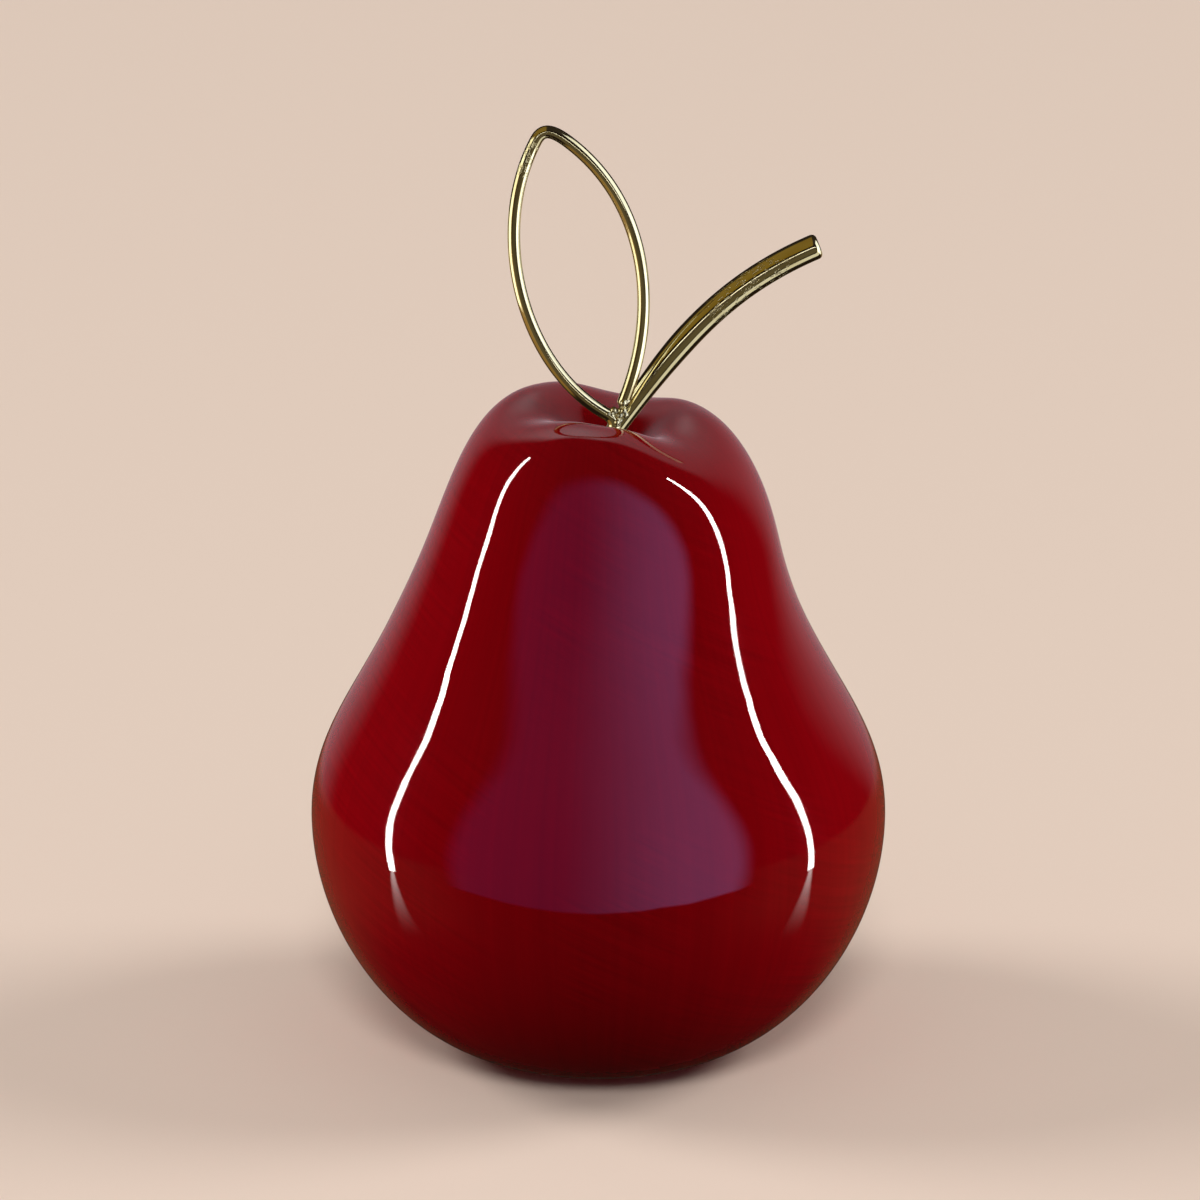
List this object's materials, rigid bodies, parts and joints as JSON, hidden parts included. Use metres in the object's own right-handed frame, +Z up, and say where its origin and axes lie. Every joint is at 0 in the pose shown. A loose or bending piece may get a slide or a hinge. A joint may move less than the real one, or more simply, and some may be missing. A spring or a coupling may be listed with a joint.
{
  "type": "ornamental pear",
  "caption": "Decorative glossy lacquered pear with a curved brass stem and a leaf outlined in brass wire, standing on a small flat foot.",
  "frame": {"origin": "centre of the flat foot that the pear stands on", "axes": "+Z up, stem bends towards +X, -Y is the side that faces the viewer"},
  "size_m": [0.126, 0.126, 0.2022],
  "materials": {
    "red_lacquer": "deep red high-gloss lacquer",
    "polished_brass": "polished pale brass"
  },
  "bodies": {
    "root": {"pear_body": "red_lacquer", "stem": "polished_brass", "leaf_wire": "polished_brass"}
  },
  "joints": []
}
